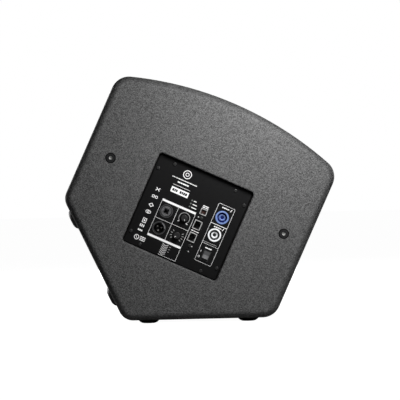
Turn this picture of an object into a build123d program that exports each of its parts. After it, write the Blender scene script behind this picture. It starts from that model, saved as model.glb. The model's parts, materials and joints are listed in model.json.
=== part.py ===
from build123d import *
import os
from math import asin, cos, radians, sin, sqrt, tan

# A powered stage monitor wedge: a plywood cabinet with a curved grille, a 12 inch coaxial driver,
# two ports, a recessed handle and an amplifier module sunk into one side.
#
# Everything is drawn in the cabinet's own frame and turned onto its base at the end:
#   X runs down the baffle, from the rear top corner to the front lower corner
#   Y runs across the width; the amplifier is on the -Y side
#   Z points straight out of the baffle, and is 0 at the ends of the curved front edge

# ---- driving dimensions, mm ----
WIDTH = 400.0            # outside the two side panels
PLY = 15.0               # all panels
BAFFLE_PLY = 18.0
BAFFLE_CHORD = 432.0     # between the two ends of the curved front edge
FRONT_R = 635.0          # radius of the curved front edge
FRONT_DEPTH = 284.5      # front panel, square to the chord
BASE_LENGTH = 270.3
BASE_TILT = 25.0         # baffle angle standing on the base
STEEP_TILT = 40.0        # baffle angle standing on the rear base
CORNER_R = 33.0
BASE_CORNER_R = 27.0
ROUNDOVER = 13.0         # outer edges of the side panels
BAFFLE_FRONT = -16.0     # front face of the baffle board

FOOT_R = 18.8
FOOT_HEIGHT = 6.5
FOOT_FLAT_R = 8.0        # flat middle of the domed foot
FOOT_RIM = 0.8           # straight edge of the dome, next to the cabinet
FOOT_Y = 160.0
BASE_FEET = (46.5, 44.4)      # from the front corner and from the heel, along the base
STEEP_FEET = (47.5, 41.2)     # from the heel and from the rear corner, along the rear base
FOOT_SCREW_R = 2.5
FOOT_SCREW_DEPTH = 13.0

PANEL_X = 1.6            # centre of the amplifier panel, handle and rigging points, along the baffle
PANEL_Z = -181.5
RIG_X = 169.2            # rigging points, each side of PANEL_X
RIG_Z = -140.7
RIG_R = 9.5
INSERT_R = 7.0

GRILLE_SINK = 2.0        # below the edges of the side panels
GRILLE_THICK = 1.5
GRILLE_HALF_X = 185.5
GRILLE_HALF_Y = 184.0
GRILLE_LIP = 10.0
RAIL_X = 165.0           # inner edge of the corner rails
FOAM_THICK = 4.0

DRIVER_R = 156.0         # outside the basket's flange
CUTOUT_R = 142.0
DRIVER_BOLT_R = 149.0
COIL_R = 37.5            # inside the voice coil former
FLANGE_THICK = 6.0
SCREW_CIRCLE_START = 22.5     # angle of the first driver screw, degrees
BASKET_BACK = -90.0      # levels of the driver, from the ends of the curved front edge
PLATE_STEEL = 10.0       # top plate and back plate
MAGNET_THICK = 20.0
MAGNET_R = 85.0
STEEL_R = 78.0
THROAT_R = 18.0          # bore through the pole for the HF driver
PORT_X = 128.0
PORT_Y = 147.0
PORT_R = 27.0
PORT_WALL = 2.5
PORT_END = -140.0

RECESS_X = 184.0         # amplifier recess in the side panel
RECESS_Z = 173.0
RECESS_R = 6.0
RECESS_LIP = 2.5
RECESS_DEPTH = 9.0
PLATE_THICK = 2.0
GASKET_THICK = 1.5
FRAME_THICK = 14.0
MODULE_X = 162.0         # opening behind the faceplate
MODULE_Z = 148.0
SOCKET_R = 12.0          # round nose of the signal and mains connectors
NOSE_PROUD = 0.8

HANDLE_X = 184.0         # handle dish, level with the base
HANDLE_Z = 112.0
HANDLE_DEPTH = 60.0
HANDLE_WALL = 3.0
GRIP_R = 13.0

# ---- places that follow from them ----
SIDE = WIDTH / 2
INSIDE = SIDE - PLY
HALF = BAFFLE_CHORD / 2
ARC_Z = -sqrt(FRONT_R**2 - HALF**2)      # centre of the front curve
TILT = radians(BASE_TILT)
STEEP = radians(STEEP_TILT)
REAR_TOP = (-HALF, 0)
FRONT_TOP = (HALF, 0)
FRONT_LOW = (HALF, -FRONT_DEPTH)
HEEL = (HALF - BASE_LENGTH * cos(TILT), -FRONT_DEPTH - BASE_LENGTH * sin(TILT))
REAR_LOW = (-HALF, HEEL[1] + (HEEL[0] + HALF) * tan(STEEP))
CORNERS = [REAR_TOP, FRONT_TOP, FRONT_LOW, HEEL, REAR_LOW]
BASE_NORMAL = (sin(TILT), 0, -cos(TILT))
STEEP_NORMAL = (-sin(STEEP), 0, -cos(STEEP))
SUNK = (Align.CENTER, Align.CENTER, Align.MAX)

# connectors and controls, from the centre of the amplifier panel
COMBO_AT = (-39.7, -6.5)
XLR_AT = (-39.7, -39.4)
NETWORK_AT = [(21.3, -7.1), (21.3, -31.0)]
USB_AT = (22.1, 18.7)
INLET_AT = (56.6, 23.0)
OUTLET_AT = (56.6, -11.2)
SWITCH_AT = (57.2, -51.3)
LEVEL_AT = (-5.0, -5.2)
PRESET_AT = (-5.0, -38.8)
LEDS_AT = [(-5.0, 29.7), (-5.0, 23.6), (-5.0, 17.8)]
BOARD_SCREWS_AT = [(23.0, 7.1), (23.6, -46.5)]
RESET_AT = (22.0, -57.0)
LEVEL_POINTER = -60.0
PRESET_POINTER = -120.0
KNOB_R = 6.0
KNOB_FACE = -198.3
SHAFT_R = 3.0
SHAFT_END = -196.5
ROCKER_R = 8.4           # ends of the rocker, about its pin
ROCKER_THROW = 24.0

PLATE_Y = -SIDE + RECESS_DEPTH           # outer face of the faceplate
PLATE_BACK = PLATE_Y + PLATE_THICK
GASKET_BACK = PLATE_BACK + GASKET_THICK
FRAME_BACK = GASKET_BACK + FRAME_THICK
BOARD_Y = -163.6                         # front of the input board
CHASSIS_BACK = -112.0
NOSE_Y = PLATE_Y - NOSE_PROUD


def slab(face, y_low, y_high):
    """A flat shape drawn in X and Z, given thickness along Y."""
    return extrude(Plane.XZ.offset(-y_high) * face, y_high - y_low)


def block(x_low, x_high, z_low, z_high, y_low, y_high):
    face = Pos((x_low + x_high) / 2, (z_low + z_high) / 2) * Rectangle(x_high - x_low, z_high - z_low)
    return slab(face, y_low, y_high)


def rod(radius, x, z, y_low, y_high):
    """A round bar along Y."""
    return slab(Pos(x, z) * Circle(radius), y_low, y_high)


def turned(*points):
    """A body turned about Z from its half outline, given as radius and height."""
    return revolve(Plane.XZ * make_face(Polyline(*points, close=True)), Axis.Z)


def ring(inner, outer, low, high):
    return turned((inner, low), (outer, low), (outer, high), (inner, high))


def polygon(*points):
    return make_face(Polyline(*points, close=True))


def round_top(body, radius):
    """Rounds the edges at a body's highest Z."""
    top = body.bounding_box().max.Z
    return fillet(body.edges().filter_by(lambda e: e.center().Z > top - 0.05), radius)


def on_panel(x, z):
    """A place on the amplifier panel, from the panel's centre."""
    return Pos(x + PANEL_X, z + PANEL_Z)


def panel_rod(radius, x, z, y_low, y_high):
    return rod(radius, x + PANEL_X, z + PANEL_Z, y_low, y_high)


def panel_block(width, height, x, z, y_low, y_high):
    return slab(on_panel(x, z) * Rectangle(width, height), y_low, y_high)


def round_nose(body, radius):
    """Rounds the edges at a body's lowest Y, its outer end on the amplifier panel."""
    nose = body.bounding_box().min.Y
    return fillet(body.edges().filter_by(lambda e: e.center().Y < nose + 0.05), radius)


def along(direction, x, y, z):
    """A place whose own Z points in the given direction."""
    return Plane(origin=(x, y, z), x_dir=(0, 1, 0), z_dir=direction).location


# ---- cabinet ----
def side_outline():
    edges = [ThreePointArc(REAR_TOP, (0, FRONT_R + ARC_Z), FRONT_TOP)]
    edges += [Line(a, b) for a, b in zip(CORNERS[1:], CORNERS[2:] + CORNERS[:1])]
    face = make_face(edges)
    base = face.vertices().filter_by(lambda v: v.X < 0 and v.Y < -200)
    face = fillet(base, BASE_CORNER_R)
    rest = face.vertices().filter_by(lambda v: v.Y > -1 or (v.X > HALF - 1 and v.Y < -FRONT_DEPTH + 1))
    return fillet(rest, CORNER_R)


def inner_corner(index):
    """The corner of the inside of the walls, one panel thickness in from both faces."""
    inside = offset(polygon(*CORNERS), -PLY, kind=Kind.INTERSECTION)
    point = CORNERS[index]
    near = inside.vertices().sort_by(lambda v: (v.X - point[0]) ** 2 + (v.Y - point[1]) ** 2)[0]
    return (near.X, near.Y)


def beyond(inner, outer):
    """A point twice as far out as the outer corner, on the line of the mitre."""
    return (2 * outer[0] - inner[0], 2 * outer[1] - inner[1])


def foot_places():
    """Centre and outward direction of each foot."""
    places = []
    edges = ((FRONT_LOW, HEEL, BASE_FEET, BASE_NORMAL), (HEEL, REAR_LOW, STEEP_FEET, STEEP_NORMAL))
    for start, end, insets, normal in edges:
        run = (end[0] - start[0], end[1] - start[1])
        length = sqrt(run[0] ** 2 + run[1] ** 2)
        for share in (insets[0] / length, 1 - insets[1] / length):
            for y in (-FOOT_Y, FOOT_Y):
                places.append((normal, start[0] + run[0] * share, y, start[1] + run[1] * share))
    return places


def foot():
    """A domed rubber foot, flat in the middle, with its screw sunk into it."""
    rise = FOOT_HEIGHT - FOOT_RIM
    reach = FOOT_R - FOOT_FLAT_R
    dome_r = (reach**2 + rise**2) / (2 * rise)
    turn = asin(reach / dome_r) / 2
    middle = (FOOT_FLAT_R + dome_r * sin(turn), FOOT_HEIGHT - dome_r + dome_r * cos(turn))
    outline = Polyline((FOOT_FLAT_R, FOOT_HEIGHT), (0, FOOT_HEIGHT), (0, 0), (FOOT_R, 0), (FOOT_R, FOOT_RIM))
    outline += ThreePointArc((FOOT_R, FOOT_RIM), middle, (FOOT_FLAT_R, FOOT_HEIGHT))
    body = revolve(Plane.XZ * make_face(outline), Axis.Z)
    return body - ring(0, 5.4, 3.0, FOOT_HEIGHT + 1) - ring(0, FOOT_SCREW_R + 0.2, -1, 4.0)


def foot_screw():
    head = round_top(ring(0, 4.6, 3.0, 5.2), 1.2)
    socket = Pos(0, 0, 4.3) * extrude(RegularPolygon(1.8, 6), 2)
    return head - socket + ring(0, FOOT_SCREW_R, -FOOT_SCREW_DEPTH, 3.1)


def rigging_insert():
    """A flanged M10 insert along +Z, with its conical seat flush with the panel."""
    body = ring(0, RIG_R, -1.5, 0) + ring(0, INSERT_R, -14, -1.4)
    bore = ring(0, 4.3, -15, 1)
    seat = turned((0, -4.0), (4.3, -4.0), (8.0, 0), (8.0, 1), (0, 1))
    return body - bore - seat


def blanking_screw():
    body = turned((0, -13), (4.15, -13), (4.15, -4.1), (7.6, -0.4), (7.6, -0.15), (0, -0.15))
    return body - Pos(0, 0, -3.2) * extrude(RegularPolygon(3.46, 6), 4)


def rigging_places():
    outward = {-SIDE: (0, -1, 0), SIDE: (0, 1, 0)}
    places = []
    for y, direction in outward.items():
        for x in (PANEL_X - RIG_X, PANEL_X + RIG_X):
            places.append(Plane(origin=(x, y, RIG_Z), x_dir=(1, 0, 0), z_dir=direction).location)
    return places


def side_panel(outline, y_outer, y_inner):
    panel = slab(outline, min(y_outer, y_inner), max(y_outer, y_inner))
    outer = panel.faces().sort_by(Axis.Y)[0 if y_outer < 0 else -1]
    panel = fillet(outer.edges(), ROUNDOVER)
    pocket = ring(0, RIG_R, -1.5, 1) + ring(0, INSERT_R, -PLY - 1, 1)
    for place in rigging_places():
        if place.position.Y * y_outer > 0:
            panel -= place * pocket
    return panel


def handle_frame(y):
    """The place of the handle, level with the base, at depth y."""
    return Location((PANEL_X, y, PANEL_Z), (0, -BASE_TILT, 0))


def outward(shape):
    """Turns a shape's own Z to face out of the side panel on +Y."""
    return Rot(-90, 0, 0) * shape


def recessed_handle():
    """A moulded dish with a grip bar across it, drawn level and then turned with handle_frame."""
    depth = HANDLE_DEPTH
    wall = HANDLE_WALL
    flange = slab(RectangleRounded(HANDLE_X + 20, HANDLE_Z + 20, 14), -wall, 0)
    dish = slab(RectangleRounded(HANDLE_X, HANDLE_Z, 12), -depth, 0)
    pocket = slab(RectangleRounded(HANDLE_X - 2 * wall, HANDLE_Z - 2 * wall, 9), -depth + wall, 1)
    body = flange + dish - pocket
    grip = Pos(0, -GRIP_R - 2, 0) * Rot(0, 90, 0) * Cylinder(GRIP_R, HANDLE_X - 2 * wall + 2)
    body += grip
    for x, z in handle_screw_places():
        body -= Pos(x, 0, z) * outward(Cone(2.2, 4.6, 2.4, align=SUNK))
        body -= rod(2.2, x, z, -wall - 1, 0)
    return body


def handle_screw_places():
    return [(x, z) for x in (-HANDLE_X / 2 - 3, HANDLE_X / 2 + 3) for z in (-38, 38)]


def cabinet():
    outline = side_outline()
    parts = {}

    # side panel with the amplifier
    panel = side_panel(outline, -SIDE, -INSIDE)
    panel -= slab(on_panel(0, 0) * RectangleRounded(RECESS_X, RECESS_Z, RECESS_R), -SIDE - 1, -INSIDE + 1)
    lip = panel.faces().sort_by(Axis.Y)[0].inner_wires().sort_by(SortBy.LENGTH)[-1]
    panel = fillet(lip.edges(), RECESS_LIP)
    panel -= slab(on_panel(0, 0) * Rectangle(RECESS_X + 30, RECESS_Z + 30), GASKET_BACK, -INSIDE + 1)
    parts["side_panel_amp"] = panel

    # side panel with the handle
    panel = side_panel(outline, SIDE, INSIDE)
    opening = slab(RectangleRounded(HANDLE_X + 0.6, HANDLE_Z + 0.6, 12), -PLY - 1, 1)
    rebate = slab(RectangleRounded(HANDLE_X + 20.6, HANDLE_Z + 20.6, 14), -HANDLE_WALL, 1)
    pilots = [rod(1.7, x, z, -12, 0) for x, z in handle_screw_places()]
    panel -= [handle_frame(SIDE) * cut for cut in (opening, rebate, *pilots)]
    parts["side_panel_handle"] = panel

    parts["recessed_handle"] = handle_frame(SIDE) * recessed_handle()
    screws = []
    for x, z in handle_screw_places():
        head = Pos(x, -0.2, z) * outward(Cone(1.6, 4.2, 2.1, align=SUNK))
        head -= Pos(x, -0.2, z) * outward(extrude(RegularPolygon(1.4, 6), -1.2))
        screws.append(handle_frame(SIDE) * (head + rod(1.5, x, z, -11.5, -2.2)))
    parts["handle_screws"] = screws

    # the four walls between the side panels, mitred where they meet
    low_front, heel, low_rear = (inner_corner(i) for i in (2, 3, 4))
    rim = HALF + 20
    regions = {
        "front_panel": [
            (HALF - PLY, BAFFLE_FRONT), (rim, BAFFLE_FRONT), beyond(low_front, FRONT_LOW), low_front
        ],
        "base_panel": [low_front, beyond(low_front, FRONT_LOW), beyond(heel, HEEL), heel],
        "rear_base_panel": [heel, beyond(heel, HEEL), beyond(low_rear, REAR_LOW), low_rear],
        "rear_panel": [
            (PLY - HALF, BAFFLE_FRONT), (-rim, BAFFLE_FRONT), beyond(low_rear, REAR_LOW), low_rear
        ],
    }
    for name, points in regions.items():
        wall = slab(outline & polygon(*points), -INSIDE, INSIDE)
        for normal, x, y, z in foot_places():
            if name.endswith("base_panel"):
                wall -= along(normal, x, y, z) * ring(0, FOOT_SCREW_R + 0.1, -FOOT_SCREW_DEPTH - 1, 1)
        parts[name] = wall

    # rails that fill the rounded corners at both ends of the baffle and carry the grille
    under_grille = FRONT_R - GRILLE_SINK - GRILLE_THICK - 0.2
    rail = outline & polygon((RAIL_X, BAFFLE_FRONT), (rim, BAFFLE_FRONT), (rim, 60), (RAIL_X, 60))
    grille_edge = GRILLE_HALF_X + 0.5
    above = polygon((0, -60), (0, 80), (grille_edge, 80), (grille_edge, -60))
    rail -= above - Pos(0, ARC_Z) * Circle(under_grille)
    front_rail = slab(rail, -INSIDE, INSIDE)
    for _, place in grille_screw_places():
        front_rail -= place * ring(0, 1.7, -12, 1)
    parts["corner_rails"] = [front_rail, mirror(front_rail, Plane.YZ)]

    # baffle board with the driver and port cut-outs
    board = Box(BAFFLE_CHORD - 2 * PLY, WIDTH - 2 * PLY, BAFFLE_PLY)
    board = Pos(0, 0, BAFFLE_FRONT - BAFFLE_PLY / 2) * board - ring(0, CUTOUT_R, -60, 0)
    for y in (-PORT_Y, PORT_Y):
        board -= Pos(PORT_X, y, 0) * ring(0, PORT_R + PORT_WALL + 0.2, -60, 0)
    for place in driver_bolts():
        board -= place * ring(0, 2.7, -60, 0)
    parts["baffle_board"] = board

    parts["cross_braces"] = [
        block(-150, -120, -225, -195, -INSIDE, INSIDE),
        block(120, 150, -225, -195, -INSIDE, INSIDE),
    ]
    rear_pad = block(PLY - HALF + 0.5, PLY - HALF + 25, -215, -60, -150, 150)
    base_pad = Pos(92, 0, -303) * Rot(0, -BASE_TILT, 0) * Box(190, 300, 25)
    parts["wadding"] = [fillet(pad.edges(), 8) for pad in (rear_pad, base_pad)]

    parts["threaded_inserts"] = [place * rigging_insert() for place in rigging_places()]
    parts["blanking_screws"] = [place * blanking_screw() for place in rigging_places()]
    parts["rubber_feet"] = [along(n, x, y, z) * foot() for n, x, y, z in foot_places()]
    parts["foot_screws"] = [along(n, x, y, z) * foot_screw() for n, x, y, z in foot_places()]

    flange_front = BAFFLE_FRONT + 3
    port = ring(PORT_R, PORT_R + PORT_WALL, PORT_END, BAFFLE_FRONT)
    port += ring(PORT_R, PORT_R + 2 * PORT_WALL, BAFFLE_FRONT, flange_front)
    mouth = port.edges().filter_by(lambda e: e.center().Z > flange_front - 0.1).sort_by(SortBy.LENGTH)[0]
    port = fillet(mouth, 2.0)
    parts["port_tubes"] = [Pos(PORT_X, y, 0) * port for y in (-PORT_Y, PORT_Y)]
    return parts


# ---- grille ----
def grille_screw_places():
    """Each screw's X and place, square to the curved grille."""
    radius = FRONT_R - GRILLE_SINK
    places = []
    for y in (-150, 0, 150):
        x = RAIL_X + 10
        lean = sqrt(radius**2 - x**2)
        places.append((x, along((x, 0, lean), x, y, ARC_Z + lean)))
    return places


def curved_sheet(outer, thick, half_x, y_low, y_high):
    face = Circle(outer) - Circle(outer - thick)
    face = Pos(0, ARC_Z) * face & Pos(0, 0) * Rectangle(2 * half_x, 160)
    return slab(face, y_low, y_high)


def grille_parts():
    outer = FRONT_R - GRILLE_SINK
    lip_inner = outer - GRILLE_THICK
    lip_x = RAIL_X - 1
    sheet = curved_sheet(outer, GRILLE_THICK, GRILLE_HALF_X, -GRILLE_HALF_Y, GRILLE_HALF_Y)
    for y in (-GRILLE_HALF_Y, GRILLE_HALF_Y - GRILLE_THICK):
        sheet += curved_sheet(lip_inner + 0.1, GRILLE_LIP, lip_x, y, y + GRILLE_THICK)
    screws = []
    for _, place in grille_screw_places():
        head = round_top(ring(0, 4.0, 0, 1.8), 1.2)
        head -= Pos(0, 0, 0.8) * extrude(RegularPolygon(1.5, 6), 2)
        screws.append(place * (head + ring(0, 1.6, -11, 0.1)))
        sheet -= place * ring(0, 1.8, -5, 5)
    screws += [mirror(screw, Plane.YZ) for screw in screws]
    sheet = sheet & mirror(sheet, Plane.YZ)
    foam_y = GRILLE_HALF_Y - GRILLE_THICK - 1.5
    foam = curved_sheet(lip_inner - 0.2, FOAM_THICK, lip_x - 1, -foam_y, foam_y)
    return {"grille": sheet, "grille_screws": screws, "grille_foam": foam}


# ---- coaxial driver, turned about Z ----
def driver_bolts():
    return list(PolarLocations(DRIVER_BOLT_R, 8, start_angle=SCREW_CIRCLE_START))


def driver():
    seat = BAFFLE_FRONT
    flange_front = seat + FLANGE_THICK
    back = BASKET_BACK
    parts = {}

    # cast basket: flange, conical wall with windows, spider ledge and base
    basket = ring(134, DRIVER_R, seat, flange_front)
    basket += turned(
        (80, back), (98, back + 6), (139, seat), (139, seat + 1), (134, seat + 1), (134, seat),
        (93, back + 6), (80, back + 4),
    )
    basket += ring(42, 82, back, back + 6) + ring(72, 82, back + 5, back + 11.2)
    for turn in range(8):
        basket -= Rot(0, 0, 45 * turn) * Pos(110, 0, -50) * Box(60, 52, 40)
    basket += Rot(0, 0, -22.5) * Pos(108, 0, -72) * Box(16, 12, 14)
    for place in driver_bolts():
        basket -= place * ring(0, 3.2, seat - 1, flange_front + 1)
    parts["woofer_basket"] = basket

    gasket = ring(142.8, DRIVER_R - 0.2, flange_front, flange_front + 2)
    screws = []
    for place in driver_bolts():
        gasket -= place * ring(0, 5.0, seat, flange_front + 3)
        head = round_top(ring(0, 4.6, flange_front, flange_front + 4.5), 0.8)
        head -= Pos(0, 0, flange_front + 2) * extrude(RegularPolygon(2.3, 6), 3)
        screws.append(place * (head + ring(0, 2.5, flange_front - 23, flange_front + 0.1)))
    parts["woofer_gasket"] = gasket
    parts["woofer_screws"] = screws

    # magnet system, with a bore through the pole for the HF driver
    magnet_front = back - PLATE_STEEL
    magnet_back = magnet_front - MAGNET_THICK
    pole_back = magnet_back - PLATE_STEEL
    pole_front = back + 2
    parts["top_plate"] = ring(COIL_R + 1.6, STEEL_R, magnet_front, back)
    parts["ring_magnet"] = ring(COIL_R + 7, MAGNET_R, magnet_back, magnet_front)
    pole = ring(THROAT_R, COIL_R - 0.5, magnet_back - 1, pole_front)
    parts["back_plate"] = pole + ring(THROAT_R, STEEL_R, pole_back, magnet_back)
    case = ring(0, 60, pole_back - 38, pole_back) + ring(0, 45, pole_back - 43, pole_back - 38)
    case = fillet(case.edges().filter_by(lambda e: e.center().Z < pole_back - 37.9), 2.0)
    parts["compression_driver"] = case - ring(0, THROAT_R - 2, pole_back - 15, pole_back + 1)

    # horn inside the cone, standing on the pole
    parts["hf_horn"] = turned(
        (THROAT_R, pole_front), (27, pole_front), (27, -74), (31, -60), (40, -42), (58, -24), (61, -24),
        (61, -21), (56, -21), (37.5, -41), (28, -60), (THROAT_R, pole_front + 4),
    )

    # moving parts: cone, and former with its winding
    parts["cone"] = turned(
        (COIL_R + 0.3, -73), (COIL_R + 1.5, -73), (62, -54), (95, -34), (125, -12), (125, -10.6),
        (123.4, -10.6), (94.2, -32.6), (61.3, -52.7), (COIL_R + 0.3, -71.4),
    )
    former = ring(COIL_R, COIL_R + 0.3, -105, -70)
    winding = ring(COIL_R + 0.3, COIL_R + 1.1, -103, -87)
    parts["voice_coil"] = [former, winding]

    # half-roll surround on the flange and the cone's edge
    roll = Pos(131, -10) * (Circle(6.5) - Circle(5.5)) & Pos(131, -5) * Rectangle(20, 10)
    surround = revolve(Plane.XZ * roll, Axis.Z)
    parts["surround"] = surround + ring(136.6, 142.5, -10, -9) + ring(123.6, 125.4, -10.6, -9.6)

    # corrugated spider between the former and the basket's ledge
    waves, steps, first, last, middle = 5, 30, 41.0, 71.0, -78.4
    curve = [(COIL_R + 0.6, middle)]
    for step in range(steps + 1):
        share = step / steps
        curve.append((first + share * (last - first), middle + 1.5 * sin(radians(360 * waves * share))))
    curve.append((79, middle))
    lower = [(r, z - 0.4) for r, z in curve]
    upper = [(r, z + 0.4) for r, z in reversed(curve)]
    parts["spider"] = turned(*lower, *upper)
    return parts


def cable(radius, points):
    """A cable along straight runs joined by tangent arcs, each as large as its two runs allow."""
    points = [Vector(p) for p in points]
    radii = []
    for before, corner, after in zip(points, points[1:], points[2:]):
        first, second = corner - before, after - corner
        turn = radians(first.get_angle(second))
        radii.append(0.45 * min(first.length, second.length) / tan(turn / 2))
    print("cable bend radii", [round(r, 1) for r in radii])
    path = FilletPolyline(*points, radius=radii)
    return sweep(Plane(path @ 0, z_dir=path % 0) * Circle(radius), path)


def speaker_cables():
    back = CHASSIS_BACK
    woofer = [(45, back, -215), (45, -92, -215), (72, -72, -180), (103.5, -50, -130), (103.5, -42.9, -105),
              (103.5, -42.9, -79)]
    tweeter = [(-12, back, -200), (-12, -94, -200), (0, -77, -150), (0, -60, -150)]
    return [cable(2.5, woofer), cable(2.0, tweeter)]


# ---- amplifier module ----
def screw_places():
    """The eight faceplate screws, from the panel's centre."""
    corners = [(x, z) for x in (-59.5, 59.5) for z in (-80, 77)]
    return corners + [(x, z) for x in (-84, 84) for z in (-64, 59)]


def d_socket(x, z, bore, floor):
    """Housing of a round connector: a nose through the faceplate, a flange behind it and a can."""
    body = panel_rod(SOCKET_R, x, z, NOSE_Y, PLATE_BACK + 0.1)
    body += panel_block(26, 31, x, z, PLATE_BACK, PLATE_BACK + 2.5)
    body += panel_rod(SOCKET_R - 0.2, x, z, PLATE_BACK, BOARD_Y)
    return body - panel_rod(bore, x, z, NOSE_Y - 1, floor)


def signal_sockets():
    parts = {}
    x, z = COMBO_AT
    floor = BOARD_Y - 3.4
    parts["combo_jack_shell"] = d_socket(x, z, 9.6, floor)
    insert = panel_rod(8.7, x, z, NOSE_Y + 1, floor)
    lobes = [Rot(0, 0, 45) * place * Circle(2.3) for place in PolarLocations(4.8, 4)]
    lobes = on_panel(x, z) * (Circle(3.6) + lobes)
    parts["combo_jack_insert"] = insert - slab(lobes, NOSE_Y, floor - 5)

    x, z = XLR_AT
    shell = d_socket(x, z, 9.3, floor)
    key = panel_block(3.6, 3.6, x + 6.4, z + 6.4, NOSE_Y + 1.5, floor)
    shell += key & panel_rod(9.4, x, z, NOSE_Y, floor)
    pins = []
    for angle in (30, 150, 270):
        px = x + 4.4 * cos(radians(angle))
        pz = z + 4.4 * sin(radians(angle))
        shell -= panel_rod(1.3, px, pz, floor - 1, BOARD_Y + 1)
        pins.append(panel_rod(1.2, px, pz, PLATE_Y + 4.5, BOARD_Y))
    parts["xlr_shell"] = shell
    parts["xlr_pins"] = pins

    shells, inserts = [], []
    for x, z in NETWORK_AT:
        shell = panel_block(13.7, 16.4, x, z, NOSE_Y + 0.2, -173)
        shell -= panel_block(12.8, 15.5, x, z, -SIDE, -150)
        insert = panel_block(12.7, 15.4, x, z, NOSE_Y + 0.8, -173)
        insert -= panel_block(8.0, 11.9, x - 1.2, z, -SIDE, -178)
        insert -= panel_block(3.0, 6.2, x + 4.2, z, -SIDE, -178)
        shells.append(shell)
        inserts.append(insert)
    parts["rj45_shells"] = shells
    parts["rj45_inserts"] = inserts

    x, z = USB_AT
    shell = panel_block(12, 11, x, z, NOSE_Y + 0.4, -175) - panel_block(10.8, 9.8, x, z, -SIDE, -150)
    tongue = panel_block(10.7, 9.7, x, z, -178, -175) + panel_block(5.6, 3.4, x, z, PLATE_Y + 4.5, -177)
    parts["usb_socket"] = [shell, tongue]
    return parts


def mains_socket(x, z):
    """A twist-lock mains connector: a round well with a post standing in it."""
    body = d_socket(x, z, 10.2, BOARD_Y - 4)
    return body + panel_rod(6.0, x, z, PLATE_Y + 4.5, BOARD_Y - 3.9)


def power_sockets():
    x, z = INLET_AT
    inlet = mains_socket(x, z)
    inlet -= panel_block(3.2, 3.2, x + 3.4, z + 3.4, PLATE_Y, PLATE_Y + 12)
    for angle in (90, 210, 330):
        rib_x, rib_z = x + 9.6 * cos(radians(angle)), z + 9.6 * sin(radians(angle))
        rib = panel_block(2.4, 2.4, rib_x, rib_z, PLATE_Y + 2, -170)
        inlet += rib & panel_rod(10.6, x, z, NOSE_Y, -165)
    x, z = OUTLET_AT
    outlet = mains_socket(x, z) - panel_rod(3.0, x, z, PLATE_Y, PLATE_Y + 16)
    return {"mains_inlet": inlet, "mains_outlet": outlet}


def power_switch():
    """A rocker that tips about a pin along the panel, pressed in at its upper end."""
    x, z = SWITCH_AT
    half_well, half_long = 5.7, 8.75
    housing = panel_block(14.4, 20.2, x, z, NOSE_Y, PLATE_Y) + panel_block(13.2, 19.2, x, z, NOSE_Y, -172)
    housing -= panel_block(2 * half_well, 2 * half_long, x, z, NOSE_Y - 1, -177)
    pivot_y = NOSE_Y + 3.0
    pivot = Pos(x + PANEL_X, pivot_y, z + PANEL_Z) * Rot(0, 90, 0)
    housing -= pivot * Cylinder(1.28, 2 * 6.5)

    fall = tan(radians(ROCKER_THROW / 2))
    hollow = 3.6
    reach = 12
    end = -hollow - reach * fall
    face = polygon((5, -reach), (5, reach), (end, reach), (-hollow, 0), (end, -reach))
    face = face & Circle(ROCKER_R)
    paddle = extrude(Plane.YZ * face, 5.4, both=True) + Rot(0, 90, 0) * Cylinder(1.2, 2 * 6.3)
    paddle = Pos(x + PANEL_X, pivot_y, z + PANEL_Z) * Rot(-ROCKER_THROW / 2, 0, 0) * paddle
    return {"rocker_housing": housing, "power_rocker": paddle}


def control(x, z, pointer):
    """Body, shaft and fluted knob of a rotary control; the pointer is an angle from the panel's +X."""
    body = panel_block(10, 11, x, z, PLATE_BACK + 0.5, -176) - panel_rod(SHAFT_R + 0.06, x, z, -SIDE, -177.5)
    shaft = panel_rod(SHAFT_R, x, z, SHAFT_END, -178)
    knob = round_nose(panel_rod(KNOB_R, x, z, KNOB_FACE, PLATE_Y - 0.4), 0.8)
    knob -= panel_rod(SHAFT_R, x, z, SHAFT_END, PLATE_Y)
    for turn in range(12):
        angle = radians(pointer + 30 * turn + 15)
        reach = KNOB_R + 0.5
        knob -= panel_rod(1.0, x + reach * cos(angle), z + reach * sin(angle), -SIDE, PLATE_Y - 1.6)
    groove = Pos(3.6, 0) * Rectangle(4.2, 1.0)
    knob -= slab(on_panel(x, z) * Rot(0, 0, pointer) * groove, KNOB_FACE - 1, KNOB_FACE + 0.6)
    return body, shaft, knob


def controls():
    level_body, level_shaft, level_knob = control(*LEVEL_AT, LEVEL_POINTER)
    preset_body, preset_shaft, preset_knob = control(*PRESET_AT, PRESET_POINTER)
    lenses = []
    for x, z in LEDS_AT:
        lenses.append(round_nose(panel_rod(1.45, x, z, PLATE_Y - 1.0, PLATE_BACK + 5), 0.9))
    return {
        "control_bodies": [level_body, preset_body],
        "level_shaft": level_shaft,
        "level_knob": level_knob,
        "preset_shaft": preset_shaft,
        "preset_knob": preset_knob,
        "led_lenses": lenses,
    }


def faceplate():
    face = on_panel(0, 0) * RectangleRounded(RECESS_X - 2, RECESS_Z - 2, RECESS_R - 1)
    plate = slab(face, PLATE_Y, PLATE_BACK)
    low, high = PLATE_Y - 1, PLATE_BACK + 1
    for x, z in (COMBO_AT, XLR_AT, INLET_AT, OUTLET_AT):
        plate -= panel_rod(SOCKET_R + 0.15, x, z, low, high)
    for x, z in NETWORK_AT:
        plate -= panel_block(14.0, 16.7, x, z, low, high)
    plate -= panel_block(12.3, 11.3, *USB_AT, low, high)
    plate -= panel_block(13.5, 19.5, *SWITCH_AT, low, high)
    for x, z in (LEVEL_AT, PRESET_AT):
        plate -= panel_rod(3.4, x, z, low, high)
    for x, z in LEDS_AT:
        plate -= panel_rod(1.6, x, z, low, high)
    for x, z in screw_places() + BOARD_SCREWS_AT:
        plate -= panel_rod(1.7, x, z, low, high)
    return plate - panel_rod(0.9, *RESET_AT, low, high)


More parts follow.
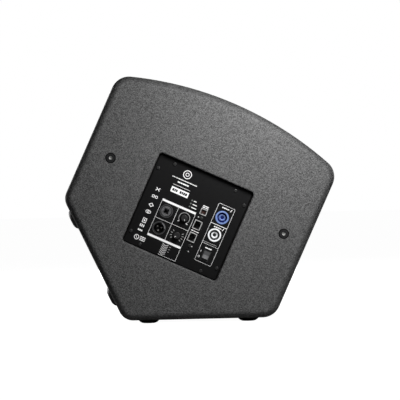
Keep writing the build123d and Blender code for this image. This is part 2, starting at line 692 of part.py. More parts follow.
def amplifier():
    parts = {}
    opening = slab(on_panel(0, 0) * RectangleRounded(MODULE_X, MODULE_Z, 6), -SIDE, -INSIDE + 20)
    frame = panel_block(RECESS_X + 29.4, RECESS_Z + 29.4, 0, 0, GASKET_BACK, FRAME_BACK) - opening
    seal = on_panel(0, 0) * RectangleRounded(RECESS_X - 2, RECESS_Z - 2, RECESS_R - 1)
    gasket = slab(seal, PLATE_BACK, GASKET_BACK) - opening
    screws = []
    for x, z in screw_places() + BOARD_SCREWS_AT:
        tip = FRAME_BACK - 3 if (x, z) in screw_places() else PLATE_BACK + 4
        frame -= panel_rod(1.6, x, z, -SIDE, FRAME_BACK - 2)
        gasket -= panel_rod(2.2, x, z, -SIDE, GASKET_BACK + 1)
        head = round_nose(panel_rod(2.9, x, z, PLATE_Y - 1.8, PLATE_Y), 0.9)
        head -= slab(on_panel(x, z) * RegularPolygon(1.3, 6), PLATE_Y - 2, PLATE_Y - 0.8)
        screws.append(head + panel_rod(1.5, x, z, PLATE_Y - 0.1, tip))
    parts["amp_mount_frame"] = frame
    parts["amp_gasket"] = gasket
    parts["faceplate"] = faceplate()
    parts["faceplate_screws"] = screws

    # folded chassis behind the faceplate
    wide, tall, sheet = MODULE_X - 6, MODULE_Z - 6, 1.5
    chassis = panel_block(wide, tall, 0, 0, PLATE_BACK, CHASSIS_BACK)
    hollow = panel_block(wide - 2 * sheet, tall - 2 * sheet, 0, 0, -SIDE, CHASSIS_BACK - sheet)
    parts["amp_chassis"] = chassis - hollow

    # boards and what stands on them
    inner_back = CHASSIS_BACK - sheet
    board = BOARD_Y + 1.6
    amp_board = -120.0
    parts["input_board"] = panel_block(106, 124, -17, 0, BOARD_Y, board)
    parts["amp_board"] = panel_block(140, 126, 0, 0, amp_board - 1.6, amp_board)
    posts = [panel_rod(3, x, z, amp_board, inner_back) for x in (-64, 64) for z in (-56, 56)]
    for x, z in ((-63, 54), (-63, -56), (30, 54), (10, -57)):
        posts.append(panel_rod(3, x, z, PLATE_BACK, BOARD_Y))
    parts["board_standoffs"] = posts
    deep = amp_board - 1.6
    powers = [panel_rod(11, x, 40, deep - 34, deep) for x in (-48, -22, 4, 30)]
    transformer = panel_block(44, 36, -36, -20, deep - 30, deep)
    parts["power_components"] = powers + [fillet(transformer.edges(), 3)]
    sink = panel_block(60, 44, 34, -24, deep - 32, deep)
    for z in range(-42, 0, 8):
        sink -= panel_block(62, 5, 34, z + 2, deep - 33, deep - 8)
    parts["heat_sink"] = sink
    for group in (signal_sockets(), power_sockets(), power_switch(), controls()):
        parts.update(group)
    parts["speaker_cables"] = speaker_cables()
    return parts


# ---- whole wedge, turned onto its base and centred over its own origin ----
def main():
    parts = {**cabinet(), **grille_parts(), **driver(), **amplifier()}
    turn = Rot(0, BASE_TILT, 0)
    body = (turn * slab(side_outline(), -SIDE, SIDE)).bounding_box()
    base = (turn * Pos(FRONT_LOW[0], 0, FRONT_LOW[1])).position.Z
    place = Pos(-body.center().X, 0, FOOT_HEIGHT - base) * turn
    print("cabinet origin at", place.position)
    os.makedirs("parts", exist_ok=True)
    for name, shape in parts.items():
        solids = shape if isinstance(shape, list) else [shape]
        solids = [solid for each in solids for solid in (place * each).solids()]
        export_step(Compound(children=solids) if len(solids) > 1 else solids[0], f"parts/{name}.step")


main()
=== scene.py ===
import json
import math

import bmesh
import bpy
from mathutils import Matrix, Vector, noise

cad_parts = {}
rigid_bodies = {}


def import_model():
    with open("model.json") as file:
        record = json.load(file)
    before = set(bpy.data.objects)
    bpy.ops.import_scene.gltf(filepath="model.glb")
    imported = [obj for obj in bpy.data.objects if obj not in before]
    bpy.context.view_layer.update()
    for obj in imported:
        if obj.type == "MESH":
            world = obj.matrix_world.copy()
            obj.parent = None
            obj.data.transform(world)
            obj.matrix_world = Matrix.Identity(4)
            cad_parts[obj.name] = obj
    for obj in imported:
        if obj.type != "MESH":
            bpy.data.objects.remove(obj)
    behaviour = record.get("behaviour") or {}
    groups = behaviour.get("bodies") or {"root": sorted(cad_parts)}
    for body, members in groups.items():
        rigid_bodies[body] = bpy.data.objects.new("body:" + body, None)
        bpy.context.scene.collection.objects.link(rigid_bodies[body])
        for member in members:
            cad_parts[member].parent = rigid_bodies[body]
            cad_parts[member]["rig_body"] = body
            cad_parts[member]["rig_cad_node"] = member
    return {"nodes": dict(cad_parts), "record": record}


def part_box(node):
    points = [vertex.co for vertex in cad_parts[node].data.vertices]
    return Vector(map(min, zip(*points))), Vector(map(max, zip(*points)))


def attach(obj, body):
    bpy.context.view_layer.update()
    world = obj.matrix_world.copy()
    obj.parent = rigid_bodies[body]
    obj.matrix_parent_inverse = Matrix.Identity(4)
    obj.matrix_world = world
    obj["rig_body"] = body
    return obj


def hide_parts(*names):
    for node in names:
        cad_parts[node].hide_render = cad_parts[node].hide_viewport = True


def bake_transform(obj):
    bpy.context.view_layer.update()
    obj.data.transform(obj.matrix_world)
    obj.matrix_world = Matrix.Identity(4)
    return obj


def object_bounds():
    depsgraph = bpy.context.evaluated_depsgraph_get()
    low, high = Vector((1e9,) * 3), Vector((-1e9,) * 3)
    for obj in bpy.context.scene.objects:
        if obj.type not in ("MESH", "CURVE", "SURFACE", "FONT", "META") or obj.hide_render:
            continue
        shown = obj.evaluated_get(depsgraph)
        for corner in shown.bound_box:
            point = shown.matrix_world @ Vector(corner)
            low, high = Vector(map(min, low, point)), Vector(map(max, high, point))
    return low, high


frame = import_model()
cad_low, cad_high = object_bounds()

# The wedge's own frame, in metres: u runs down the baffle, y across the width, and v straight out
# of the baffle. The amplifier panel faces -y, and its graphics are placed in millimetres from its centre.
MM = 0.001
TILT = math.radians(25)
DOWN = Vector((math.cos(TILT), 0, -math.sin(TILT)))
OUT = Vector((math.sin(TILT), 0, math.cos(TILT)))
PANEL_CENTRE_V = -181.5 * MM
plate_low, plate_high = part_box("faceplate")
PANEL = (plate_low + plate_high) / 2
PLATE_Y = plate_low.y
coil_low, coil_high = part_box("voice_coil")      # the driver's axis is the line u = 0, y = 0
AXIS_POINT = (coil_low + coil_high) / 2
ORIGIN = AXIS_POINT + ((PANEL - AXIS_POINT).dot(OUT) - PANEL_CENTRE_V) * OUT


def place(u, y, v):
    """A point from the wedge's own frame, given in millimetres."""
    return ORIGIN + (u * DOWN + v * OUT) * MM + Vector((0, y * MM, 0))


def on_panel(x, z, proud=0.0):
    """A point on the amplifier panel, in millimetres from its centre and above the faceplate."""
    point = PANEL + (x * DOWN + z * OUT) * MM
    return Vector((point.x, PLATE_Y - proud * MM, point.z))


# ---- materials ----
class Look:
    """A principled material with a few short names for its procedural nodes."""

    def __init__(self, name, rough, metallic=0.0, **uniform):
        self.material = bpy.data.materials.new(name)
        self.material.use_nodes = True
        self.tree = self.material.node_tree
        self.shader = self.tree.nodes["Principled BSDF"]
        self.shader.inputs["Roughness"].default_value = rough
        self.shader.inputs["Metallic"].default_value = metallic
        for socket, value in uniform.items():
            self.shader.inputs[socket.replace("_", " ")].default_value = value
        self.coords = self.tree.nodes.new("ShaderNodeTexCoord").outputs["Object"]

    def node(self, kind, **inputs):
        node = self.tree.nodes.new("ShaderNode" + kind)
        for name, value in inputs.items():
            self.put(node.inputs[name.replace("_", " ")], value)
        return node

    def put(self, socket, value):
        if isinstance(value, bpy.types.NodeSocket):
            self.tree.links.new(value, socket)
        else:
            socket.default_value = value

    def stretched(self, scale):
        return self.node("Mapping", Vector=self.coords, Scale=scale).outputs[0]

    def noise(self, scale, detail=2.0, rough=0.5, coords=None):
        where = coords or self.coords
        node = self.node("TexNoise", Vector=where, Scale=scale, Detail=detail, Roughness=rough)
        return node.outputs["Fac"]

    def cells(self, scale):
        return self.node("TexVoronoi", Vector=self.coords, Scale=scale).outputs["Distance"]

    def spread(self, value, low, high, to_low=0.0, to_high=1.0):
        node = self.node("MapRange", Value=value)
        node.inputs["From Min"].default_value = low
        node.inputs["From Max"].default_value = high
        node.inputs["To Min"].default_value = to_low
        node.inputs["To Max"].default_value = to_high
        return node.outputs["Result"]

    def maths(self, operation, first, second):
        node = self.tree.nodes.new("ShaderNodeMath")
        node.operation = operation
        self.put(node.inputs[0], first)
        self.put(node.inputs[1], second)
        return node.outputs[0]

    def sum(self, first, second):
        return self.maths("ADD", first, second)

    def mixed(self, share, first, second):
        node = self.tree.nodes.new("ShaderNodeMix")
        node.data_type = "RGBA"
        self.put(node.inputs[0], share)
        self.put(node.inputs[6], (*first, 1))
        self.put(node.inputs[7], (*second, 1))
        return node.outputs[2]

    def colour(self, share, first, second):
        self.put(self.shader.inputs["Base Color"], self.mixed(share, first, second))

    def roughness(self, value):
        self.put(self.shader.inputs["Roughness"], value)

    def bump(self, height, strength, distance):
        node = self.node("Bump", Height=height, Strength=strength, Distance=distance)
        self.put(self.shader.inputs["Normal"], node.outputs["Normal"])


GRAIN_SCALE = 690                               # cells to a metre
GRAIN_DARK, GRAIN_PALE = (0.007, 0.007, 0.0073), (0.136, 0.136, 0.136)
PAINTED_EDGE_SHADE = 0.64                               # painted shade: how much of its tone the paint keeps on the rounded edges, darkened to stand in for their shade
EDGE_FROM, EDGE_FULL = 0.170, 0.186             # |y| in metres, coming out over the edge from the panels
FACE_FULL, FACE_FROM = 0.1991, 0.19997          # |y| in metres, going back to the flat of the side


def textured_paint():
    """Charcoal structured paint: grains of uneven height and shade over a soft orange peel.

    The rounded edges of the two side panels are painted darker: painted shade, standing in for the light
    falling off over them."""
    look = Look("cabinet_paint", 0.62, Specular_IOR_Level=0.35)
    grain = look.node("TexVoronoi", Vector=look.coords, Scale=GRAIN_SCALE)
    shade = look.node("SeparateColor", Color=grain.outputs["Color"]).outputs[0]
    fine = look.noise(900, 1, 0.5)
    peel = look.noise(150, 2, 0.5)
    tone = look.sum(look.spread(shade, 0, 1, 0, 0.7), look.spread(fine, 0.3, 0.7, 0, 0.3))
    across = look.node("SeparateXYZ", Vector=look.coords).outputs["Y"]
    # painted shade: a mask over the rounded edges of the sides, where the paint is darkened
    from_middle = look.maths("ABSOLUTE", across, 0.0)
    over_edge = look.spread(from_middle, EDGE_FROM, EDGE_FULL)
    off_face = look.spread(from_middle, FACE_FROM, FACE_FULL)
    rounded = look.maths("MULTIPLY", over_edge, off_face)
    tone = look.maths("MULTIPLY", tone, look.spread(rounded, 0, 1, 1, PAINTED_EDGE_SHADE))
    look.colour(tone, GRAIN_DARK, GRAIN_PALE)
    look.roughness(look.spread(peel, 0.3, 0.7, 0.52, 0.7))
    domes = look.spread(grain.outputs["Distance"], 0, 0.6, 0.6, 0)
    height = look.sum(domes, look.spread(shade, 0, 1, 0, 0.6))
    look.bump(look.sum(height, look.spread(peel, 0, 1, 0, 0.4)), 0.85, 0.0005)
    return look.material


def powder_coat(name, colour, rough=0.45, scale=1500, strength=0.2, **uniform):
    """A fine, even coat: powder coat, or screen ink."""
    look = Look(name, rough, **uniform)
    peel = look.noise(scale, 2)
    look.colour(look.spread(peel, 0.35, 0.65), colour, tuple(c * 1.25 for c in colour))
    look.roughness(look.spread(look.noise(scale / 8), 0.3, 0.7, rough - 0.07, rough + 0.07))
    look.bump(peel, strength, 0.0001)
    return look.material


def plastic(name, colour, rough=0.42, grain=2200, **uniform):
    """Moulded plastic with a fine spark-eroded grain and uneven gloss."""
    look = Look(name, rough, **uniform)
    fine = look.noise(grain, 2)
    look.colour(look.spread(fine, 0.35, 0.65), colour, tuple(min(1, c * 1.2 + 0.003) for c in colour))
    look.roughness(look.spread(look.noise(grain / 9), 0.3, 0.7, rough - 0.06, rough + 0.1))
    look.bump(fine, 0.12, 0.0001)
    return look.material


def metal(name, colour, rough=0.35, scale=700, stretch=(1, 1, 1), metallic=1.0):
    """Metal with faint streaks in its colour and gloss."""
    look = Look(name, rough, metallic=metallic)
    streak = look.noise(scale, 4, coords=look.stretched(stretch))
    look.colour(streak, tuple(c * 0.72 for c in colour), colour)
    look.roughness(look.spread(streak, 0.3, 0.7, rough - 0.08, rough + 0.12))
    look.bump(streak, 0.07, 0.0001)
    return look.material


def plywood():
    """Birch ply, with its grain running along x."""
    look = Look("birch_ply", 0.6)
    grain = look.noise(2, 5, coords=look.stretched((14, 120, 90)))
    look.colour(look.spread(grain, 0.3, 0.7), (0.42, 0.28, 0.15), (0.68, 0.52, 0.33))
    look.bump(grain, 0.2, 0.0003)
    return look.material


def rubber(name, colour, rough=0.6, **uniform):
    """Rubber or soft jacket, mottled and slightly uneven."""
    look = Look(name, rough, **uniform)
    mottle = look.noise(600, 3)
    look.colour(mottle, colour, tuple(c * 1.6 for c in colour))
    look.roughness(look.spread(look.noise(90), 0.3, 0.7, rough - 0.1, rough + 0.12))
    look.bump(mottle, 0.25, 0.0002)
    return look.material


def fibre(name, colour, scale=1200, strength=0.6, **uniform):
    """Matted or woven fibre, its colour darker in its hollows as painted shade."""
    look = Look(name, 0.95, **uniform)
    fuzz = look.noise(scale, 5, 0.7)
    # painted shade: the noise that sets the height also darkens the low parts
    look.colour(look.spread(fuzz, 0.3, 0.7), tuple(c * 0.55 for c in colour), colour)
    look.bump(fuzz, strength, 0.0005)
    return look.material


def open_foam(name, colour):
    """Reticulated foam: small open cells, their sunken parts painted dark as painted shade."""
    look = Look(name, 0.95)
    cell = look.cells(700)
    strand, hollow_shade = tuple(c * 2.2 for c in colour), tuple(c * 0.3 for c in colour)
    look.colour(look.spread(cell, 0.1, 0.6), strand, hollow_shade)
    look.bump(look.spread(cell, 0, 0.7, 1, 0), 0.8, 0.0008)
    return look.material


# looks that several nodes or pieces share
PAINT = textured_paint()
PANEL_PAINT = powder_coat("panel_paint", (0.0045, 0.0045, 0.0047), 0.45, 1800, 0.1, Specular_IOR_Level=0.13)
GRILLE_PAINT = powder_coat("grille_paint", (0.016, 0.016, 0.017), 0.62)
INK = powder_coat("white_ink", (0.80, 0.80, 0.80), 0.55, 3000, 0.1)
GREY_INK = powder_coat("grey_ink", (0.36, 0.36, 0.36), 0.55, 3000, 0.1)
PLATED = metal("plated_rim", (0.66, 0.66, 0.65), 0.3, metallic=0.3)
NICKEL = metal("nickel", (0.42, 0.42, 0.41), 0.32, metallic=0.4)
BRASS = metal("brass", (0.85, 0.62, 0.25), 0.25)
BLACK_PLASTIC = plastic("black_plastic", (0.009, 0.009, 0.0095), 0.38)
GREY_PLASTIC = plastic("grey_plastic", (0.050, 0.050, 0.052), 0.6)
PALE_GREY = plastic("pale_grey_plastic", (0.13, 0.13, 0.135), 0.5)
WHITE_PLASTIC = plastic("white_plastic", (0.80, 0.81, 0.82), 0.33)
PALE_BLUE = plastic("pale_blue_plastic", (0.15, 0.225, 0.45), 0.4)
# painted shade: deep blue for the shaded well and core of the mains inlet
PAINTED_SHADE_BLUE = plastic("painted_shade_blue_plastic", (0.001, 0.006, 0.07), 0.45, Specular_IOR_Level=0.2)
USB_BROWN = plastic("usb_brown", (0.055, 0.018, 0.012), 0.45)
# partly painted shade: a near-black bead that also stands in for the shade along the recess's edges
SEAL_AND_SHADE_BEAD = rubber("seal_and_shade_bead", (0.0016, 0.0016, 0.0016), 0.85, Specular_IOR_Level=0.08)
FOAM = open_foam("acoustic_foam", (0.012, 0.012, 0.012))
WADDING = fibre("wadding", (0.80, 0.79, 0.75), 300, Sheen_Weight=0.3)
SURROUND_CLOTH = fibre("surround_cloth", (0.018, 0.018, 0.018), 1400, 0.3)
SPIDER_CLOTH = fibre("spider_cloth", (0.50, 0.33, 0.12), 1600, 0.5)
SLOT_LOOKS = {
    "cabinet_paint": PAINT,
    "birch_ply": plywood(),
    "grille_paint": GRILLE_PAINT,
    "panel_paint": PANEL_PAINT,
    "black_zinc": metal("black_zinc", (0.016, 0.016, 0.017), 0.34, metallic=0.3),
    "bright_steel": metal("bright_steel", (0.66, 0.66, 0.64), 0.3),
    "dark_steel": metal("dark_steel", (0.07, 0.07, 0.072), 0.45),
    "ferrite": powder_coat("ferrite", (0.03, 0.03, 0.032), 0.6),
    "cast_alloy": powder_coat("cast_alloy", (0.03, 0.03, 0.031), 0.45),
    "folded_alloy": metal("folded_alloy", (0.72, 0.73, 0.74), 0.35, 500, (1, 1, 12)),
    "black_plastic": BLACK_PLASTIC,
    "grey_plastic": GREY_PLASTIC,
    "blue_plastic": plastic("blue_plastic", (0.10, 0.19, 0.62), 0.3),
    "white_plastic": WHITE_PLASTIC,
    "lens_plastic": plastic("lens_plastic", (0.16, 0.17, 0.16), 0.2),
    "foot_rubber": rubber("foot_rubber", (0.007, 0.007, 0.007), 0.42),
    "seal_rubber": rubber("seal_rubber", (0.02, 0.02, 0.02), 0.75),
    "acoustic_foam": FOAM,
    "wadding": WADDING,
    "surround_cloth": SURROUND_CLOTH,
    "spider_cloth": SPIDER_CLOTH,
    "cone_paper": fibre("cone_paper", (0.022, 0.022, 0.022), 800, 0.3),
    "coil": metal("coil", (0.80, 0.42, 0.22), 0.35, 2500, (1, 1, 20)),
    "circuit_board": plastic("circuit_board", (0.01, 0.12, 0.05), 0.35),
    "power_parts": plastic("power_parts", (0.02, 0.02, 0.06), 0.3),
    "brass": BRASS,
    "cable_jacket": rubber("cable_jacket", (0.012, 0.012, 0.012), 0.5),
}
# nodes whose finish differs from the rest of their slot
NODE_LOOKS = {
    "faceplate_screws": metal("screw_zinc", (0.06, 0.06, 0.06), 0.28, metallic=0.6),
    "threaded_inserts": powder_coat("insert_zinc", (0.003, 0.003, 0.0032), 0.4, Specular_IOR_Level=0.12),
    "amp_mount_frame": PAINT,
    "usb_socket": NICKEL,
    "xlr_pins": NICKEL,
    "rj45_shells": NICKEL,
    "combo_jack_insert": GREY_PLASTIC,
}


def dress_nodes():
    """Gives every CAD node the look of its material slot."""
    for part in frame["record"]["subparts"]:
        look = NODE_LOOKS.get(part["node"]) or SLOT_LOOKS[part["material_slot"]]
        mesh = frame["nodes"][part["node"]].data
        mesh.materials.clear()
        mesh.materials.append(look)


# ---- building meshes ----
def finished(name, bm, look, body="cabinet", smooth=False):
    """Turns mesh data into a piece that rides on a body, or that is left without one if body is None."""
    bmesh.ops.recalc_face_normals(bm, faces=bm.faces)
    mesh = bpy.data.meshes.new(name)
    bm.to_mesh(mesh)
    bm.free()
    mesh.materials.append(look)
    mesh.polygons.foreach_set("use_smooth", [smooth] * len(mesh.polygons))
    piece = bpy.data.objects.new(name, mesh)
    bpy.context.scene.collection.objects.link(piece)
    if body:
        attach(piece, body)
    return piece


def join_rims(bm, rims):
    """Faces between each rim of vertices and the next."""
    for first, second in zip(rims, rims[1:]):
        for i in range(len(first)):
            j = (i + 1) % len(first)
            bm.faces.new((first[i], first[j], second[j], second[i]))


def prism(bm, front, back, closed=True):
    """A strip with thickness: front and back are pairs of rims, each rim a list of points."""
    count = len(front[0])
    rims = [[bm.verts.new(p) for p in rim] for rim in (*front, *back)]
    left, right, left_back, right_back = rims
    last = count if closed else count - 1
    for i in range(last):
        j = (i + 1) % count
        for a, b in ((left, right), (right, right_back), (right_back, left_back), (left_back, left)):
            bm.faces.new((a[i], b[i], b[j], a[j]))
    if not closed:
        for i in (0, count - 1):
            bm.faces.new((left[i], right[i], right_back[i], left_back[i]))


INK_PROUD = 0.07        # mm that the screen print stands above the faceplate
SHARPEST = 0.4          # keeps the mitre of a very sharp corner short


def ribbon(bm, points, width, closed=False):
    """A printed line of even width along points on the panel, with mitred corners."""
    points = [Vector(p) for p in points]
    count = len(points)
    left, right = [], []
    for i, point in enumerate(points):
        before = points[i - 1] if closed or i > 0 else points[i]
        after = points[(i + 1) % count] if closed or i < count - 1 else points[i]
        a = (point - before).normalized() if point != before else (after - point).normalized()
        b = (after - point).normalized() if point != after else a
        normal = Vector((-(a + b).y, (a + b).x)).normalized()
        reach = width / 2 / max(SHARPEST, normal.dot(Vector((-a.y, a.x))))
        left.append(point + reach * normal)
        right.append(point - reach * normal)
    front = [[on_panel(p.x, p.y, INK_PROUD) for p in rim] for rim in (left, right)]
    back = [[on_panel(p.x, p.y) for p in rim] for rim in (left, right)]
    prism(bm, front, back, closed)


def arc(centre, radius, start, end, steps=None, squash=1.0):
    """Points on an arc between two angles in degrees, flattened by squash."""
    steps = steps or max(6, int(abs(end - start) / 10))
    angles = [math.radians(start + (end - start) * i / steps) for i in range(steps + 1)]
    return [(centre[0] + radius * math.cos(a), centre[1] + squash * radius * math.sin(a)) for a in angles]


def circle(bm, centre, radius, width, squash=1.0):
    """A printed ring."""
    ribbon(bm, arc(centre, radius, 0, 360, 32, squash)[:-1], width, closed=True)


def bar(bm, x_low, x_high, z_low, z_high):
    """A printed block."""
    middle = (z_low + z_high) / 2
    ribbon(bm, [(x_low, middle), (x_high, middle)], z_high - z_low)


def frame_line(bm, x_low, x_high, z_low, z_high, width, round_by=0.0):
    """A printed rectangle, drawn as a line with round corners."""
    corners = ((x_high, z_high, 0), (x_low, z_high, 90), (x_low, z_low, 180), (x_high, z_low, 270))
    points = []
    for x, z, start in corners:
        inward = (-round_by if x == x_high else round_by, -round_by if z == z_high else round_by)
        if round_by:
            points += arc((x + inward[0], z + inward[1]), round_by, start, start + 90, 4)
        else:
            points.append((x, z))
    ribbon(bm, points, width, closed=True)


def dashes(bm, start, end, width, dash=2.0, gap=1.0):
    """A printed dashed line with a whole number of dashes."""
    start, end = Vector(start), Vector(end)
    run = end - start
    count = max(1, round(run.length / (dash + gap)))
    for i in range(count):
        a = start + run * (i / count)
        ribbon(bm, [a, a + run * (dash / (dash + gap)) / count], width)


def blank_words(bm, x_low, x_high, z, height, lengths=(3.2, 1.8, 2.4)):
    """A line of plain blocks, where the real panel has a word or two."""
    x, i = x_low, 0
    while x < x_high - 0.5:
        length = min(lengths[i % len(lengths)], x_high - x)
        bar(bm, x, x + length, z - height / 2, z + height / 2)
        x += length + 0.7
        i += 1


# ---- screen print on the amplifier panel ----
GRID_X = (-54.3, -21.6, 10.5)       # upright lines of the field round the inputs and controls
GRID_Z = (-57.0, -23.5, 10.3)       # its bars and the line between them
GRID_FOOT = -82.7                   # foot of the dashed box below it
THIN = 0.5                          # width of a thin line


def signal_graphics():
    """The two by two field round the inputs and controls, with its two heavy bars."""
    bm = bmesh.new()
    for x in GRID_X:
        ribbon(bm, [(x, GRID_Z[0] - 2), (x, GRID_Z[2] + 2)], THIN)
    ribbon(bm, [(GRID_X[0], GRID_Z[1]), (GRID_X[2], GRID_Z[1])], THIN)
    for z_low, z_high in ((8.4, 12.3), (-59.0, -54.9)):
        bar(bm, GRID_X[0] - 0.4, GRID_X[2] + 0.4, z_low, z_high)
    dashes(bm, (GRID_X[1] - 1.3, GRID_FOOT), (GRID_X[2], GRID_FOOT), 0.7)
    dashes(bm, (GRID_X[2], GRID_FOOT), (GRID_X[2], -59.0), 0.7)
    finished("print_signal_fields", bm, INK)


def hatch_block():
    """A block of bent strokes below the fields, with a few small marks beside it."""
    bm = bmesh.new()
    low, high, left, right = -82.0, -60.4, -22.6, -11.4
    strokes, rise = 6, 3.0
    for i in range(strokes):
        z = low + 1.2 + i * (high - low - 5.0) / (strokes - 1)
        ribbon(bm, [(left, z + rise), ((left + right) / 2, z), (right, z + rise)], 1.5)
    mark_x = -8.6
    for z in (-63.5, -68.0, -72.6):
        bar(bm, mark_x, mark_x + 2.2, z - 0.5, z + 0.5)
    finished("print_hatch", bm, GREY_INK)


def control_scales():
    """An open scale round the level control and ticks round the preset switch."""
    level, radius, low, high = (-5.0, -5.2), 9.9, -52, 232
    preset, inner, outer = (-5.0, -38.8), 9.0, 12.4
    bm = bmesh.new()
    ribbon(bm, arc(level, radius, low, high, 32), 0.75)
    for angle in (-40, -15, 10, 35, 145, 170, 195, 220):
        a = math.radians(angle)
        ends = [(preset[0] + r * math.cos(a), preset[1] + r * math.sin(a)) for r in (inner, outer)]
        ribbon(bm, ends, 0.95)
    finished("print_control_scales", bm, GREY_INK)
    feet = bmesh.new()
    for side, angle in ((1, low), (-1, high)):
        foot = arc(level, radius, angle, angle, 1)[0]
        ribbon(feet, [foot, (foot[0] + side * 3.4, foot[1] - 0.8)], 1.2)
    finished("print_scale_ends", feet, INK)


def power_graphics():
    """The frame round the mains sockets and the switch."""
    bm = bmesh.new()
    left, right, low, high = 41.3, 72.7, -65.6, 45.2
    frame_line(bm, left, right, low, high, THIN, 2.0)
    bar(bm, left, right, 7.0, 8.0)
    dashes(bm, (left, -31.4), (right, -31.4), 0.7)
    dashes(bm, (left, -28.2), (right - 4, -28.2), 0.6, 1.2, 0.8)
    for z in (40.2, 3.1):
        blank_words(bm, 49.5, 63.5, z, 1.9, (2.6, 3.4, 2.0))
        ribbon(bm, [(67.8, z + 2.4), (66.2, z - 2.4)], 1.1)
    blank_words(bm, 50.2, 63.8, -37.9, 1.9, (5.6, 6.2))
    ribbon(bm, [(45.6, -45.0), (45.6, -48.0)], 0.9)
    circle(bm, (45.6, -57.0), 1.5, 0.7)
    finished("print_power_column", bm, INK)


def socket_labels():
    """Blocks beside the lamps, the network sockets and the USB socket."""
    bm = bmesh.new()
    for z, length in ((29.7, 5.2), (23.6, 8.4), (17.8, 9.7)):
        bar(bm, -1.6, -1.6 + length, z - 0.75, z + 0.75)
    for z in (26.6, 29.4):
        blank_words(bm, 17.0, 28.2, z, 1.5, (4.4, 5.6))
    blank_words(bm, 14.4, 29.0, -19.1, 1.4, (4.6, 4.0, 5.0))
    for x, z in ((17.2, 7.1), (27.6, -46.5), (25.4, -57.0)):
        bar(bm, x - 1.0, x + 1.0, z - 0.5, z + 0.5)
    finished("print_socket_labels", bm, INK)


def title_block():
    """A plain ring and blank lines over a white name plate with nothing on it but blocks."""
    bm = bmesh.new()
    emblem = (-31.0, 68.5)
    circle(bm, emblem, 7.2, 1.2)
    circle(bm, emblem, 3.0, 1.0)
    blank_words(bm, -55.0, -7.5, 56.0, 1.5, (1.6, 2.8, 1.2, 2.2))
    blank_words(bm, -42.0, -21.0, 50.2, 2.4, (5.0, 3.4, 7.2))
    ribbon(bm, [(-48.0, 43.6), (-15.0, 43.6)], 0.6)
    bar(bm, -48.1, -14.7, 29.3, 39.4)
    finished("print_title", bm, INK)

    blocks = bmesh.new()
    for x_low, x_high in ((-45.6, -34.8), (-31.4, -17.2)):
        blank_words(blocks, x_low, x_high, 34.4, 4.6, (3.4, 2.2, 3.0))
    for vert in blocks.verts:                   # they stand as high again as the white plate under them
        if vert.co.y < PLATE_Y - INK_PROUD / 2 * MM:
            vert.co.y = PLATE_Y - 2 * INK_PROUD * MM
    finished("print_title_blocks", blocks, PANEL_PAINT)


def marks_column():
    """A column of plain geometric marks at the rear edge of the panel."""
    bm = bmesh.new()
    x = -69.0
    for side in (-1, 1):
        ribbon(bm, [(x + side * 3.4, 26.2), (x + side * 1.0, 23.4), (x + side * 3.4, 20.4)], 1.5)
    for side in (-1, 1):
        frame_line(bm, x + side * 3.0 - 1.9, x + side * 3.0 + 1.9, 7.2, 11.2, 1.1, 0.8)
    ribbon(bm, [(x - 4.0, -7.0), (x, -10.2), (x + 4.0, -7.0), (x, -3.8)], 1.3, closed=True)
    circle(bm, (x, -20.2), 4.6, 1.0, squash=0.6)
    circle(bm, (x, -20.2), 1.5, 0.9)
    frame_line(bm, x - 3.1, x + 3.1, -41.0, -33.2, 1.1)
    bar(bm, x - 1.2, x + 1.2, -38.6, -35.6)
    for i in range(3):
        bar(bm, x - 4.4 + 3.1 * i, x - 2.6 + 3.1 * i, -49.6, -44.8)
    blank_words(bm, x - 4.6, x + 4.8, -56.0, 3.0, (2.2, 2.8, 2.0))
    circle(bm, (x - 1.2, -69.8), 4.1, 1.1)
    ribbon(bm, [(x - 3.4, -67.4), (x + 1.0, -72.2)], 0.9)
    for z in (-66.4, -69.4, -72.4):
        blank_words(bm, x + 5.2, x + 15.0, z, 1.7, (2.8, 3.6, 2.0))
    finished("print_marks", bm, INK)


# ---- trim on the connectors and controls ----
def lathe(bm, centre, outline, segments=48, outward=-1):
    """Turns a closed outline of (radius, height above the surface) about a line across the wedge."""
    rings = []
    for radius, proud in outline:
        angles = [2 * math.pi * i / segments for i in range(segments)]
        raised = centre + Vector((0, outward * proud * MM, 0))
        points = [raised + radius * MM * (math.cos(a) * DOWN + math.sin(a) * OUT) for a in angles]
        rings.append([bm.verts.new(p) for p in points])
    join_rims(bm, rings + rings[:1])


def bead(radius, half, proud):
    """A small rounded ring standing on a socket's nose."""
    angles = [math.radians(30 * i) for i in range(12)]
    return [(radius + half * math.cos(a), proud + half * math.sin(a)) for a in angles]


MOUNTS = {mount["name"]: Vector(mount["pos_m"]) for mount in frame["record"]["mounts"]}


def panel_millimetres(point):
    """A point's place on the panel, as on_panel takes it."""
    offset = point - PANEL
    return offset.dot(DOWN) / MM, offset.dot(OUT) / MM


def socket_place(mount):
    """A socket's centre on the panel."""
    return panel_millimetres(MOUNTS[mount])


def nose_height(node):
    """How far a node stands out of the faceplate, in millimetres."""
    return (PLATE_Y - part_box(node)[0].y) / MM


def ring(name, mount, outline, look):
    """A turned ring, in the middle of a socket."""
    bm = bmesh.new()
    lathe(bm, on_panel(*socket_place(mount)), outline)
    finished(name, bm, look)


def plug(name, mount, radius, front, thick, look, slot):
    """A round disc with a softened rim, set into a socket."""
    soften = 0.3
    bm = bmesh.new()
    rims = []
    for r, proud in ((radius - soften, front), (radius, front - soften), (radius, front - thick)):
        rim = arc(socket_place(mount), r, 0, 360, 36)[:-1]
        rims.append([bm.verts.new(on_panel(x, z, proud)) for x, z in rim])
    join_rims(bm, rims)
    bm.faces.new(rims[0])
    bm.faces.new(rims[-1])
    finished(name, bm, look)


